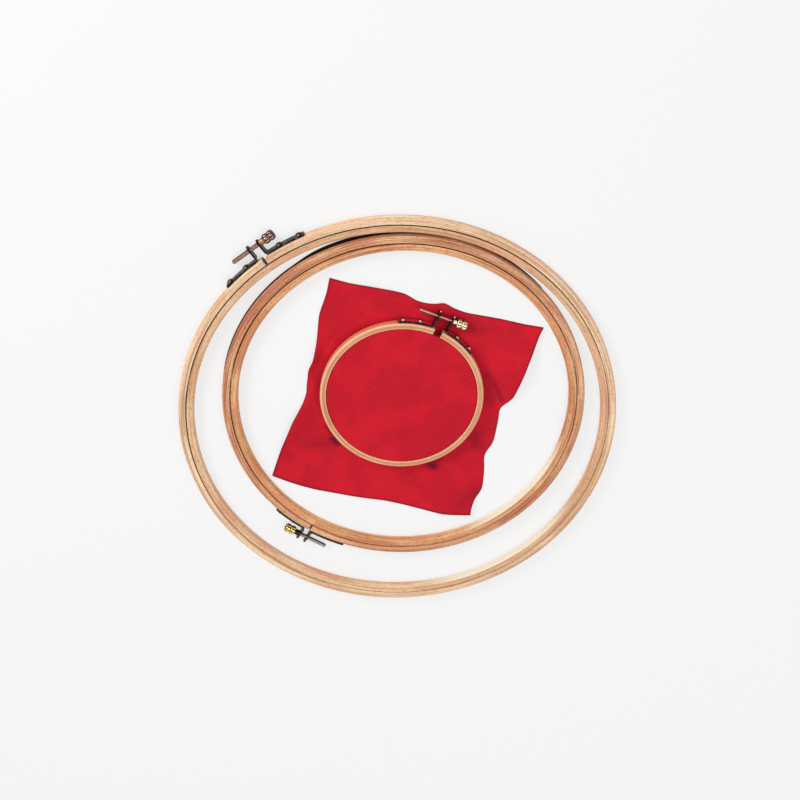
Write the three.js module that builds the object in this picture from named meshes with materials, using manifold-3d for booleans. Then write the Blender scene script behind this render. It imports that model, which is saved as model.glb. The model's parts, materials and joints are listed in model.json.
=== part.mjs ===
// Three wooden embroidery hoops lying one inside the other, the smallest with a cloth stretched in it.
// Each hoop is a closed inner ring and a split outer ring, drawn together by a thumb screw
// that runs through the upturned ears of two riveted steel brackets.
// Millimetres, +Z up. The origin is the middle of the large hoop, on the surface that the hoops lie on.

import * as THREE from 'three';
import { mergeVertices } from 'three/addons/utils/BufferGeometryUtils.js';
import Module from 'manifold-3d';

const wasm = await Module();
wasm.setup();

// Fits that every hoop shares
const RING_FIT = 0.3; // between the outer ring and what it is clamped on
const SEAT = 0.2; // between a metal piece and the face that it is riveted to
const SCREW_FIT = 0.4; // round the screw in an ear's hole, in which it leans a little
const BACK_CUT = 0.3; // where the two halves of the bent outer ring meet, opposite the screw

// Wood sections: the hand meets the open edges, and the rings slide on each other along the mating ones
const RING_HEIGHT = 6.5;
const OPEN_EDGE = { round: 1.6, steps: 2 };
const MATING_EDGE = { round: 0.5, steps: 1 };
const END_TAPER_LENGTH = 3.4; // of the pared corner at a split

// Steel brackets
const BRACKET_MARGIN = 0.5; // from the strip's edge to the ring's upper and lower face
const EAR_TIP_ROUND = 3;
const FOOT_END_ROUND = 1;
const LARGEST_ROUND = 0.48; // of a strip's width

// Rivets
const RIVET_SHANK_RADIUS = 0.8;
const RIVET_FIT = 0.2;
const RIVET_TAIL_RECESS = 0.4; // from the tail to the ring's mating face
const RIVET_END_MARGIN = 3.8; // from the last rivet to the foot's end

// Thumb screw
const KNURL_LOBES = 8;
const KNURL_DEPTH = 0.35;
const NECK_DEPTH = 1.2; // of the groove between the beads
const COLLAR_STEP = 0.65; // by which the collar is wider than the rod
const ROD_END_ROUND = 0.8;

// Facets
const ROUND_STEPS = 3; // along a rounded corner, a bend or a rivet's dome
const FOOT_STEPS = 7; // along a bracket's curved foot
const HOLE_SIDES = 8;
const RIVET_SIDES = 10;
const ROD_SIDES = 12;
const BEAD_STEPS = 4;
const LOBE_STEPS = 4;
const WELD = 1e-4; // vertices nearer than this are one
const PAST = 1; // by which a cutting shape runs past the faces that it cuts

// The hoops come in steps of one size, and the middle one is a step smaller than the large one.
// A hoop's earHeight is from the ring to the screw, its earRim from the screw's hole to the ear's tip,
// and its screwLean the degrees by which the sprung ears hold the screw's head further out.
// headEndTaper is what is pared off the ring's outer corner at the split, under the screw's head.
const HOOP_STEP = 27;

const large = {
  name: 'large',
  outsideRadius: 153.2,
  outerRingWidth: 5.2,
  innerRingWidth: 5.4,
  splitDirection: 123.8,
  splitGap: 1.5,
  headEndTaper: 2,
  earSpacing: 8,
  earHeight: 9,
  earRim: 1.4,
  footLength: 28,
  rivetSpacing: 15,
  rivetHead: { radius: 2.4, height: 1.4 },
  steelThickness: 1.2,
  screwLean: 1.5,
  rodRadius: 1.6,
  rodPastEar: 14.3,
  collarLength: 3.2,
  beadRadius: 3.5,
  beadLength: 4,
  facets: 80,
  wood: 0xe6c69c,
  screwMetal: 0x8a6a52,
  clampedOn: 0,
  baseHeight: 0,
};

const medium = {
  name: 'medium',
  outsideRadius: large.outsideRadius - HOOP_STEP,
  outerRingWidth: 5.3,
  innerRingWidth: 5.5,
  splitDirection: -125.2,
  splitGap: 1,
  headEndTaper: 0,
  earSpacing: 6,
  earHeight: 7.3,
  earRim: 2.5,
  footLength: 25,
  rivetSpacing: 12,
  rivetHead: { radius: 1.8, height: 1.2 },
  steelThickness: 1,
  screwLean: 2,
  rodRadius: 1.45,
  rodPastEar: 14.8,
  collarLength: 3.4,
  beadRadius: 3.3,
  beadLength: 3.8,
  facets: 72,
  wood: 0xd9996b,
  screwMetal: 0xb98a3a,
  clampedOn: 0,
  baseHeight: 0,
};

// The cloth is clamped between the small hoop's two rings and lies under its outer ring
const CLOTH_THICKNESS = 0.6;

const small = {
  name: 'small',
  outsideRadius: 57,
  outerRingWidth: 4.2,
  innerRingWidth: 4,
  splitDirection: 61.5,
  splitGap: 5,
  headEndTaper: 0,
  earSpacing: 10.4,
  earHeight: 9,
  earRim: 2.9,
  footLength: 23.5,
  rivetSpacing: 11.5,
  rivetHead: { radius: 1.45, height: 1.6 },
  steelThickness: 1,
  screwLean: 4,
  rodRadius: 0.9,
  rodPastEar: 13.2,
  collarLength: 2.6,
  beadRadius: 3.2,
  beadLength: 3.8,
  facets: 60,
  wood: 0xe0bd88,
  screwMetal: 0xc79a45,
  clampedOn: CLOTH_THICKNESS,
  baseHeight: CLOTH_THICKNESS + RING_FIT,
};

// How the hoops lie in each other
const NEST_GAP = 1.75; // between the large and the medium hoop, where they nearly touch
const NEST_DIRECTION = 71;
const SMALL_OFFSET = [-1.2, 5.1]; // of the small hoop, from the middle of the medium one

// The cloth's outline: corners by their gap to the medium hoop's wall, the middles of its edges
// by their reach past the small hoop
const CLOTH_CORNERS = [
  { direction: 116, wallGap: 9 },
  { direction: -148.6, wallGap: 2.6 },
  { direction: -65.6, wallGap: 5.8 },
  { direction: 27.8, wallGap: 4.5 },
];
const CLOTH_EDGES = [
  { direction: 168, reach: 9.7 },
  { direction: -106.3, reach: 31.7 },
  { direction: -19.8, reach: 14.7 },
  { direction: 69, reach: 16.5 },
];
const CLOTH_STEPS_PER_EDGE = 14;
const CLOTH_BEND = 0.7; // where the cloth turns down over the ring
const CLOTH_FLAT_REACH = 5.5; // lies flat this far past the small hoop, so that the ring can open
const CLOTH_RINGS_TO_EDGE = 4;
const CLOTH_FOLDS = [
  { direction: 150, spread: 13, height: 2.6 },
  { direction: -163, spread: 11, height: 4.2 },
  { direction: -112, spread: 13, height: 1.6 },
  { direction: -72, spread: 11, height: 3.4 },
  { direction: -9, spread: 10, height: 5 },
];

const CLOTH_RED = 0xc81f33;
const BRACKET_STEEL = 0x2e2a26;

// Materials

function wood(colour) {
  return new THREE.MeshStandardMaterial({ color: colour, roughness: 0.55, metalness: 0 });
}

function metal(colour, roughness) {
  return new THREE.MeshStandardMaterial({ color: colour, roughness, metalness: 1 });
}

function fabric(colour) {
  return new THREE.MeshStandardMaterial({ color: colour, roughness: 0.9, metalness: 0 });
}

// Solids

const radians = THREE.MathUtils.degToRad;
const AXES = [new THREE.Vector3(1, 0, 0), new THREE.Vector3(0, 1, 0), new THREE.Vector3(0, 0, 1)];

function signedVolume(position, index) {
  const a = new THREE.Vector3();
  const b = new THREE.Vector3();
  const c = new THREE.Vector3();
  let volume = 0;
  for (let i = 0; i < index.length; i += 3) {
    a.fromBufferAttribute(position, index[i]);
    b.fromBufferAttribute(position, index[i + 1]);
    c.fromBufferAttribute(position, index[i + 2]);
    volume += a.dot(b.cross(c)) / 6;
  }
  return volume;
}

// A closed geometry as a solid whose faces point out, whichever way its outline was drawn
function solid(geometry) {
  const bare = geometry.clone();
  bare.deleteAttribute('normal');
  bare.deleteAttribute('uv');
  const merged = mergeVertices(bare, WELD);
  const index = [];
  const source = merged.index.array;
  for (let i = 0; i < source.length; i += 3) {
    const [a, b, c] = [source[i], source[i + 1], source[i + 2]];
    if (a !== b && b !== c && c !== a) index.push(a, b, c);
  }
  if (signedVolume(merged.attributes.position, index) < 0) index.reverse();
  const mesh = new wasm.Mesh({
    numProp: 3,
    vertProperties: new Float32Array(merged.attributes.position.array),
    triVerts: new Uint32Array(index),
  });
  return new wasm.Manifold(mesh);
}

function geometryOf(manifold) {
  const mesh = manifold.getMesh();
  const geometry = new THREE.BufferGeometry();
  geometry.setAttribute('position', new THREE.BufferAttribute(new Float32Array(mesh.vertProperties), 3));
  geometry.setIndex(new THREE.BufferAttribute(new Uint32Array(mesh.triVerts), 1));
  geometry.computeVertexNormals();
  return geometry;
}

function named(name, geometry, material) {
  const mesh = new THREE.Mesh(geometry, material);
  mesh.name = name;
  return mesh;
}

// Turns a profile of [radius, height] pairs round the Z axis
function revolve(profile, steps) {
  const points = profile.map(([radius, height]) => new THREE.Vector2(radius, height));
  return new THREE.LatheGeometry(points, steps).rotateX(Math.PI / 2);
}

function extrude(points, depth) {
  return new THREE.ExtrudeGeometry(new THREE.Shape(points), { depth, bevelEnabled: false });
}

function arc(centreX, centreY, radius, from, to, steps) {
  const points = [];
  for (let i = 0; i <= steps; i++) {
    const angle = from + ((to - from) * i) / steps;
    points.push(new THREE.Vector2(centreX + radius * Math.cos(angle), centreY + radius * Math.sin(angle)));
  }
  return points;
}

// A rectangle whose two corners on the +x side are rounded
function endRounded(x0, x1, y0, y1, wanted) {
  const round = Math.min(wanted, LARGEST_ROUND * (y1 - y0));
  return [
    new THREE.Vector2(x0, y0),
    ...arc(x1 - round, y0 + round, round, -Math.PI / 2, 0, ROUND_STEPS),
    ...arc(x1 - round, y1 - round, round, 0, Math.PI / 2, ROUND_STEPS),
    new THREE.Vector2(x0, y1),
  ];
}

// Runs an outline drawn in Y and Z along X
function alongX(points, from, to) {
  const [x, y, z] = AXES;
  const turn = new THREE.Matrix4().makeBasis(y, z, x);
  return extrude(points, to - from).applyMatrix4(turn).translate(from, 0, 0);
}

// Runs an outline drawn in X and Z along Y
function alongY(points, from, to) {
  const [x, y, z] = AXES;
  const turn = new THREE.Matrix4().makeBasis(x, z, y.clone().negate());
  return extrude(points, to - from).applyMatrix4(turn).translate(0, to, 0);
}

// A bar of round section from one point along a direction
function bar(radius, length, start, direction, sides) {
  const geometry = new THREE.CylinderGeometry(radius, radius, length, sides).translate(0, length / 2, 0);
  const turn = new THREE.Quaternion().setFromUnitVectors(AXES[1], direction);
  return geometry.applyQuaternion(turn).translate(start.x, start.y, start.z);
}

// Sizes that follow from a hoop's own

function sizesOf(hoop) {
  const matingRadius = hoop.outsideRadius - hoop.outerRingWidth;
  const clothRoom = hoop.clampedOn > 0 ? hoop.clampedOn + RING_FIT : 0;
  const innerRingOutside = matingRadius - RING_FIT - clothRoom;
  const footRadius = hoop.outsideRadius + SEAT;
  const steelOutside = footRadius + hoop.steelThickness;
  const screwY = hoop.outsideRadius + hoop.earHeight;
  const earTip = screwY + hoop.rodRadius + SCREW_FIT + hoop.earRim;
  const height = hoop.baseHeight + RING_HEIGHT / 2;
  const earOut = hoop.earSpacing / 2 + hoop.steelThickness / 2;
  return { matingRadius, innerRingOutside, footRadius, steelOutside, screwY, earTip, height, earOut };
}

// Which way the screw points from the middle between the ears; side is 1 to its head and -1 to its far end
function screwAxis(hoop, side) {
  const lean = radians(hoop.screwLean);
  return new THREE.Vector3(side * Math.cos(lean), side * Math.sin(lean), 0);
}

// Rings: bent wood strips with rounded open edges

function ringProfile(inside, outside, low, insideEdge, outsideEdge) {
  const high = low + RING_HEIGHT;
  const corner = (x, z, edge, from) => arc(x, z, edge.round, from, from + Math.PI / 2, edge.steps);
  const points = [
    ...corner(inside + insideEdge.round, low + insideEdge.round, insideEdge, Math.PI),
    ...corner(outside - outsideEdge.round, low + outsideEdge.round, outsideEdge, -Math.PI / 2),
    ...corner(outside - outsideEdge.round, high - outsideEdge.round, outsideEdge, 0),
    ...corner(inside + insideEdge.round, high - insideEdge.round, insideEdge, Math.PI / 2),
  ];
  const profile = points.map((point) => [point.x, point.y]);
  return [...profile, profile[0]];
}

function innerRing(hoop) {
  const outside = sizesOf(hoop).innerRingOutside;
  const profile = ringProfile(outside - hoop.innerRingWidth, outside, 0, OPEN_EDGE, MATING_EDGE);
  return revolve(profile, hoop.facets);
}

// One half of the split outer ring; side is 1 under the screw's head and -1 at its far end
function outerRingHalf(hoop, side) {
  const { matingRadius } = sizesOf(hoop);
  const low = hoop.baseHeight;
  const profile = ringProfile(matingRadius, hoop.outsideRadius, low, MATING_EDGE, OPEN_EDGE);
  const beyond = hoop.outsideRadius + PAST;
  const taper = side > 0 ? hoop.headEndTaper : 0;
  const cornerOut = taper > 0 ? END_TAPER_LENGTH * (1 + PAST / taper) : 0;
  const half = [
    [hoop.splitGap / 2, 0],
    [hoop.splitGap / 2, hoop.outsideRadius - taper],
    [hoop.splitGap / 2 + cornerOut, beyond],
    [beyond, beyond],
    [beyond, -beyond],
    [BACK_CUT / 2, -beyond],
    [BACK_CUT / 2, 0],
  ];
  const outline = half.map(([x, y]) => new THREE.Vector2(x * side, y));
  const keep = solid(extrude(outline, RING_HEIGHT + 2 * PAST).translate(0, 0, low - PAST));
  let ring = solid(revolve(profile, hoop.facets)).intersect(keep);
  for (const angle of rivetAngles(hoop)) {
    ring = ring.subtract(solid(rivetHole(hoop, side, angle)));
  }
  return geometryOf(ring);
}

// Rivets: places by the angle from the split, measured round the ring

function footAngles(hoop) {
  const { footRadius, earOut } = sizesOf(hoop);
  const start = Math.asin(earOut / footRadius);
  return { start, end: start + hoop.footLength / footRadius };
}

function rivetAngles(hoop) {
  const { footRadius } = sizesOf(hoop);
  const last = footAngles(hoop).end - RIVET_END_MARGIN / footRadius;
  return [last - hoop.rivetSpacing / footRadius, last];
}

function outward(side, angle) {
  return new THREE.Vector3(side * Math.sin(angle), Math.cos(angle), 0);
}

function rivetHole(hoop, side, angle) {
  const { matingRadius, steelOutside, height } = sizesOf(hoop);
  const direction = outward(side, angle);
  const start = direction.clone().multiplyScalar(matingRadius - PAST).setZ(height);
  const length = steelOutside - matingRadius + 2 * PAST;
  return bar(RIVET_SHANK_RADIUS + RIVET_FIT, length, start, direction, HOLE_SIDES);
}

function rivet(hoop, side, angle) {
  const { matingRadius, steelOutside, height } = sizesOf(hoop);
  const tail = matingRadius + RIVET_TAIL_RECESS;
  const seat = steelOutside + SEAT;
  const dome = arc(0, 0, 1, 0, Math.PI / 2, ROUND_STEPS).map((point) => [
    point.x * hoop.rivetHead.radius,
    seat + point.y * hoop.rivetHead.height,
  ]);
  dome[dome.length - 1][0] = 0;
  const profile = [[0, tail], [RIVET_SHANK_RADIUS, tail], [RIVET_SHANK_RADIUS, seat], ...dome];
  const turn = new THREE.Quaternion().setFromUnitVectors(AXES[2], outward(side, angle));
  return geometryOf(solid(revolve(profile, RIVET_SIDES).applyQuaternion(turn).translate(0, 0, height)));
}

// Brackets: a steel strip bent into a curved foot and an upturned ear with a round tip

function bracketOutline(hoop, side) {
  const { footRadius, steelOutside, earTip, earOut } = sizesOf(hoop);
  const thickness = hoop.steelThickness;
  const bendRadius = thickness;
  const bendX = earOut + bendRadius;
  const bendY = Math.sqrt((steelOutside + bendRadius) ** 2 - bendX ** 2);
  const bendEnd = Math.atan2(-bendY, -bendX) + 2 * Math.PI;
  const toFoot = Math.PI / 2 - Math.atan2(bendX, bendY);
  const footEnd = Math.PI / 2 - footAngles(hoop).end;
  const points = [
    new THREE.Vector2(earOut, earTip),
    ...arc(bendX, bendY, bendRadius, Math.PI, bendEnd, ROUND_STEPS),
    ...arc(0, 0, steelOutside, toFoot, footEnd, FOOT_STEPS).slice(1),
    ...arc(0, 0, footRadius, footEnd, toFoot, FOOT_STEPS),
    ...arc(bendX, bendY, bendRadius + thickness, bendEnd, Math.PI, ROUND_STEPS).slice(1),
    new THREE.Vector2(earOut - thickness, earTip),
  ];
  return points.map((point) => new THREE.Vector2(point.x * side, point.y));
}

function bracket(hoop, side) {
  const { screwY, earTip, height } = sizesOf(hoop);
  const width = RING_HEIGHT - 2 * BRACKET_MARGIN;
  const low = height - width / 2;
  const high = height + width / 2;

  // The ear's round tip, seen along the screw, and the foot's round end, seen from outside the ring
  const earSide = alongX(endRounded(0, earTip, low, high, EAR_TIP_ROUND), -earTip, earTip);
  const footSide = alongY(endRounded(-earTip, 0, low, high, FOOT_END_ROUND), 0, earTip);
  footSide.rotateZ(-footAngles(hoop).end).scale(side, 1, 1);

  let plate = solid(extrude(bracketOutline(hoop, side), width).translate(0, 0, low));
  plate = plate.intersect(solid(earSide)).intersect(solid(footSide));
  for (const angle of rivetAngles(hoop)) {
    plate = plate.subtract(solid(rivetHole(hoop, side, angle)));
  }
  const middle = new THREE.Vector3(0, screwY, height);
  const holeLength = hoop.earSpacing + PAST;
  const screwHole = bar(hoop.rodRadius + SCREW_FIT, holeLength, middle, screwAxis(hoop, side), ROD_SIDES);
  return geometryOf(plate.subtract(solid(screwHole)));
}

// Thumb screw: a rod with a plain collar and two knurled beads

// Half an ellipse standing on the neck that joins the beads
function beadProfile(start, radius, length) {
  const neck = radius - NECK_DEPTH;
  return arc(0, 0, 1, Math.PI, 0, BEAD_STEPS).map((point) => [
    neck + NECK_DEPTH * point.y,
    start + (length * (1 + point.x)) / 2,
  ]);
}

function thumbScrew(hoop) {
  const { screwY, height, earOut } = sizesOf(hoop);
  const collarStart = earOut + SEAT;
  const collarRadius = hoop.rodRadius + COLLAR_STEP;
  const beadStart = collarStart + hoop.collarLength;
  const middle = beadStart + hoop.beadLength;
  const end = middle + hoop.beadLength;
  const rodEnd = -(earOut + hoop.rodPastEar);

  const beads = [
    ...beadProfile(beadStart, hoop.beadRadius, hoop.beadLength),
    ...beadProfile(middle, hoop.beadRadius, hoop.beadLength).slice(1),
  ];
  const head = revolve([[0, beadStart], ...beads, [0, end]], KNURL_LOBES * LOBE_STEPS);
  const place = head.attributes.position;
  for (let i = 0; i < place.count; i++) {
    const angle = Math.atan2(place.getY(i), place.getX(i));
    const scallop = 1 - (KNURL_DEPTH / hoop.beadRadius) * (1 + Math.cos(KNURL_LOBES * angle)) / 2;
    place.setXY(i, place.getX(i) * scallop, place.getY(i) * scallop);
  }

  const rod = revolve([
    [0, rodEnd],
    [hoop.rodRadius - ROD_END_ROUND, rodEnd],
    [hoop.rodRadius, rodEnd + ROD_END_ROUND],
    [hoop.rodRadius, collarStart],
    [collarRadius, collarStart],
    [collarRadius, beadStart + hoop.beadLength / 2],
    [0, beadStart + hoop.beadLength / 2],
  ], ROD_SIDES);
  const screw = geometryOf(solid(head).add(solid(rod)));
  const turn = new THREE.Quaternion().setFromUnitVectors(AXES[2], screwAxis(hoop, 1));
  return screw.applyQuaternion(turn).translate(0, screwY, height);
}

// One hoop, built with its split on the +Y side and turned into place

function hoopGroup(hoop, centre) {
  const group = new THREE.Group();
  const timber = wood(hoop.wood);
  const steel = metal(BRACKET_STEEL, 0.45);
  group.add(named(`${hoop.name}_inner_ring`, innerRing(hoop), timber));
  for (const [label, side] of [['head', 1], ['far', -1]]) {
    group.add(named(`${hoop.name}_outer_ring_${label}_half`, outerRingHalf(hoop, side), timber));
    group.add(named(`${hoop.name}_${label}_bracket`, bracket(hoop, side), steel));
    rivetAngles(hoop).forEach((angle, i) => {
      group.add(named(`${hoop.name}_${label}_rivet_${i + 1}`, rivet(hoop, side, angle), steel));
    });
  }
  group.add(named(`${hoop.name}_thumb_screw`, thumbScrew(hoop), metal(hoop.screwMetal, 0.35)));
  group.position.set(centre.x, centre.y, 0);
  group.rotation.z = radians(hoop.splitDirection - 90);
  return group;
}

// Cloth: drawn tight over the small hoop's inner ring, down between the rings and out over the table

function clothOutline(smallCentre, mediumCentre) {
  const wall = sizesOf(medium).innerRingOutside - medium.innerRingWidth;
  const corners = CLOTH_CORNERS.map(({ direction, wallGap }) =>
    mediumCentre.clone().sub(smallCentre).add(polar(direction, wall - wallGap)));
  const middles = CLOTH_EDGES.map(({ direction, reach }) => polar(direction, small.outsideRadius + reach));
  const points = [];
  corners.forEach((corner, i) => {
    const next = corners[(i + 1) % corners.length];
    const pull = middles[i].clone().multiplyScalar(2).sub(corner.clone().add(next).multiplyScalar(0.5));
    const edge = new THREE.QuadraticBezierCurve(corner, pull, next);
    points.push(...edge.getPoints(CLOTH_STEPS_PER_EDGE).slice(0, -1));
  });
  return points;
}

function polar(degrees, radius) {
  return new THREE.Vector2(Math.cos(radians(degrees)), Math.sin(radians(degrees))).multiplyScalar(radius);
}

// How high the folds lift the cloth off the table; share is the way from its flat part to its edge
function foldHeight(point, share) {
  let height = 0;
  for (const fold of CLOTH_FOLDS) {
    const away = point.angleTo(polar(fold.direction, 1));
    height += fold.height * Math.exp(-((away / radians(fold.spread)) ** 2));
  }
  return height * Math.sin((share * Math.PI) / 2) ** 2;
}

function cloth(smallCentre, mediumCentre) {
  const outline = clothOutline(smallCentre, mediumCentre);
  const { innerRingOutside } = sizesOf(small);
  const wallInside = innerRingOutside + RING_FIT;
  const wallOutside = wallInside + CLOTH_THICKNESS;
  const underside = RING_HEIGHT + RING_FIT;
  const top = underside + CLOTH_THICKNESS;
  const flatEnd = small.outsideRadius + CLOTH_FLAT_REACH;

  const position = [];
  const index = [];
  const addRing = (place) => {
    const first = position.length / 3;
    outline.forEach((point) => position.push(...place(point)));
    return first;
  };
  const atRadius = (radius, z) => (point) => {
    const share = radius / point.length();
    return [point.x * share, point.y * share, z];
  };
  const towardsEdge = (share, lift) => (point) => {
    const radius = flatEnd + (point.length() - flatEnd) * share;
    const scale = radius / point.length();
    return [point.x * scale, point.y * scale, lift + foldHeight(point, share)];
  };
  const count = outline.length;
  const join = (a, b) => {
    for (let i = 0; i < count; i++) {
      const j = (i + 1) % count;
      index.push(a + i, b + i, b + j, a + i, b + j, a + j);
    }
  };
  const layer = (middleZ, rings) => {
    const middle = position.length / 3;
    position.push(0, 0, middleZ);
    const starts = rings.map(addRing);
    for (let i = 0; i < count; i++) {
      index.push(middle, starts[0] + i, starts[0] + ((i + 1) % count));
    }
    for (let i = 1; i < starts.length; i++) {
      join(starts[i - 1], starts[i]);
    }
    return starts[starts.length - 1];
  };
  const shares = Array.from({ length: CLOTH_RINGS_TO_EDGE }, (_, i) => (i + 1) / CLOTH_RINGS_TO_EDGE);

  const upperEdge = layer(top, [
    atRadius(wallOutside - CLOTH_BEND, top),
    atRadius(wallOutside, top - CLOTH_BEND),
    atRadius(wallOutside, CLOTH_THICKNESS),
    atRadius(flatEnd, CLOTH_THICKNESS),
    ...shares.map((share) => towardsEdge(share, CLOTH_THICKNESS)),
  ]);
  const upperEnd = index.length;
  const lowerEdge = layer(underside, [
    atRadius(wallInside, underside),
    atRadius(wallInside, 0),
    atRadius(flatEnd, 0),
    ...shares.map((share) => towardsEdge(share, 0)),
  ]);
  for (let i = upperEnd; i < index.length; i += 3) {
    [index[i], index[i + 1]] = [index[i + 1], index[i]];
  }
  join(upperEdge, lowerEdge);

  const geometry = new THREE.BufferGeometry();
  geometry.setAttribute('position', new THREE.Float32BufferAttribute(position, 3));
  geometry.setIndex(index);
  return geometryOf(solid(geometry));
}

// The set

const largeCentre = new THREE.Vector2(0, 0);
const nestRoom = sizesOf(large).innerRingOutside - large.innerRingWidth - medium.outsideRadius;
const mediumCentre = polar(NEST_DIRECTION, nestRoom - NEST_GAP);
const smallCentre = mediumCentre.clone().add(new THREE.Vector2(...SMALL_OFFSET));

const group = new THREE.Group();
group.add(hoopGroup(large, largeCentre));
group.add(hoopGroup(medium, mediumCentre));
group.add(hoopGroup(small, smallCentre));

const clothMesh = named('embroidery_cloth', cloth(smallCentre, mediumCentre), fabric(CLOTH_RED));
clothMesh.position.set(smallCentre.x, smallCentre.y, 0);
group.add(clothMesh);

export default group;
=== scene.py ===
import json
import math

import bmesh
import bpy
import numpy as np
from mathutils import Matrix, Vector


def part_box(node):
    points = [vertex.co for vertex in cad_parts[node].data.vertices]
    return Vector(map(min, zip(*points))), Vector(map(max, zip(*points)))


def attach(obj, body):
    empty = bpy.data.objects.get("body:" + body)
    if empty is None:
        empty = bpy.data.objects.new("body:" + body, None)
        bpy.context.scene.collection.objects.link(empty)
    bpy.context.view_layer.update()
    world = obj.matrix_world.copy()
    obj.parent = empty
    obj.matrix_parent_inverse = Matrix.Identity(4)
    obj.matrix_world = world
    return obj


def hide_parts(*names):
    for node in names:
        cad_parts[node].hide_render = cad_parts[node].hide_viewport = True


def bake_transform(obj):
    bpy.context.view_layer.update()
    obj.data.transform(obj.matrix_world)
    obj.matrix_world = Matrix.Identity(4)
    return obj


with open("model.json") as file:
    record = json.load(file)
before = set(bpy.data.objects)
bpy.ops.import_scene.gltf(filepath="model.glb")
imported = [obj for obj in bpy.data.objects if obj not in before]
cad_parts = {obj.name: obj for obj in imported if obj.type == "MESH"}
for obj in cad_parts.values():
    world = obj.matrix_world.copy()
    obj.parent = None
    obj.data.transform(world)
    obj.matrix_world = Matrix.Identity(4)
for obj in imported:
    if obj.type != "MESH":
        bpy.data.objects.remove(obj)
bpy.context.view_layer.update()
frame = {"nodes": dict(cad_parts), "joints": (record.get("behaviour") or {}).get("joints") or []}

# The camera looks down on the set through a long lens. It stands beyond the set, so that the top
# of the picture is the near side, and it is turned a little to the right round its own axis.

LOOK_AT = Vector((0.00213, 0.01228, 0))
CAMERA_ELEVATION = math.radians(60.7)
CAMERA_ROLL = math.radians(2.3)
CAMERA_DISTANCE = 1.19
CAMERA_LENS = 76.5


def into_scene(name, data):
    """A new object in the scene, made from a camera, a lamp or a mesh."""
    thing = bpy.data.objects.new(name, data)
    bpy.context.scene.collection.objects.link(thing)
    return thing


back = Vector((0, math.cos(CAMERA_ELEVATION), math.sin(CAMERA_ELEVATION)))
level_right = Vector((1, 0, 0))
level_up = back.cross(level_right)
right = math.cos(CAMERA_ROLL) * level_right - math.sin(CAMERA_ROLL) * level_up
up = math.sin(CAMERA_ROLL) * level_right + math.cos(CAMERA_ROLL) * level_up
camera = into_scene("camera", bpy.data.cameras.new("camera"))
camera.data.lens = CAMERA_LENS
facing = Matrix((right, up, back)).transposed().to_4x4()
camera.matrix_world = Matrix.Translation(LOOK_AT + back * CAMERA_DISTANCE) @ facing
bpy.context.scene.camera = camera
bpy.context.scene.view_settings.view_transform = "Standard"


# The table is a plain white surface. The camera and bright metal see part of it as flat white
# paper, so that the shadows stay as faint as they are in the photograph, except in the narrow
# gap where the middle hoop nearly touches the large one.


class Wire:
    """A node's output that sums can be written with: each operator adds one Math node."""

    def __init__(self, tree, socket=None):
        self.tree = tree
        self.socket = socket

    def add(self, kind, settings=None, inputs=None, output=0):
        """Adds a node: its settings are made first, then its inputs get their values or wires."""
        node = self.tree.nodes.new(kind)
        for name, value in (settings or {}).items():
            if name == "stops":
                while len(node.color_ramp.elements) < len(value):
                    node.color_ramp.elements.new(1)
                for element, (place, colour) in zip(node.color_ramp.elements, value):
                    element.position, element.color = place, colour
            else:
                setattr(node, name, value)
        for key, value in (inputs or {}).items():
            if isinstance(value, Wire):
                self.tree.links.new(value.socket, node.inputs[key])
            else:
                node.inputs[key].default_value = value
        return Wire(self.tree, node.outputs[output] if node.outputs else None)

    def output(self, name):
        """Another output of the node that this wire comes from."""
        return Wire(self.tree, self.socket.node.outputs[name])

    def parts(self):
        """A vector's X, Y and Z."""
        split = self.add("ShaderNodeSeparateXYZ", None, {0: self})
        return [split.output(name) for name in "XYZ"]

    def of(self, operation, *others):
        """One Math node on this wire and the others."""
        inputs = dict(enumerate((self, *others)))
        return self.add("ShaderNodeMath", {"operation": operation}, inputs)

    def vector(self, operation, *others):
        """One Vector Math node. A dot product and a length are numbers, all else is a vector."""
        inputs = dict(enumerate((self, *others)))
        output = 1 if operation in ("DOT_PRODUCT", "LENGTH") else 0
        return self.add("ShaderNodeVectorMath", {"operation": operation}, inputs, output)

    def __add__(self, other):
        return self.of("ADD", other)

    def __sub__(self, other):
        return self.of("SUBTRACT", other)

    def __mul__(self, other):
        return self.of("MULTIPLY", other)

    def __truediv__(self, other):
        return self.of("DIVIDE", other)

    def __pow__(self, other):
        return self.of("POWER", other)

    def __lt__(self, other):
        return self.of("LESS_THAN", other)

    def __gt__(self, other):
        return self.of("GREATER_THAN", other)

    def __rsub__(self, other):
        return self * -1 + other

    __radd__ = __add__
    __rmul__ = __mul__

    def between(self, low, high):
        """0 below low, 1 above high, and smooth in between."""
        settings = {"interpolation_type": "SMOOTHSTEP"}
        inputs = {"Value": self, "From Min": low, "From Max": high}
        return self.add("ShaderNodeMapRange", settings, inputs)

    def mix(self, first, second):
        """The first colour where this is 0 and the second where it is 1."""
        inputs = {0: self, 6: first, 7: second}
        return self.add("ShaderNodeMix", {"data_type": "RGBA"}, inputs, 2)


def srgb(red, green, blue):
    """A colour as it looks on the screen, from 0 to 255, as the light that a material takes."""
    shares = [value / 255 for value in (red, green, blue)]
    return (*[s / 12.92 if s <= 0.04045 else ((s + 0.055) / 1.055) ** 2.4 for s in shares], 1)


def new_material(name, **surface):
    """A material with its Principled shader's plain numbers set, and the tree to add to."""
    material = bpy.data.materials.new(name)
    material.use_nodes = True
    shader = material.node_tree.nodes["Principled BSDF"]
    for key, value in surface.items():
        shader.inputs[key.replace("_", " ")].default_value = value
    return material, Wire(material.node_tree), shader


def connect(wire, shader, name):
    """Leads a wire to one of a shader's named sockets."""
    wire.tree.links.new(wire.socket, shader.inputs[name])


def place_on(wire):
    """Where a point of a piece lies."""
    return wire.add("ShaderNodeTexCoord").output("Object")


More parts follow.
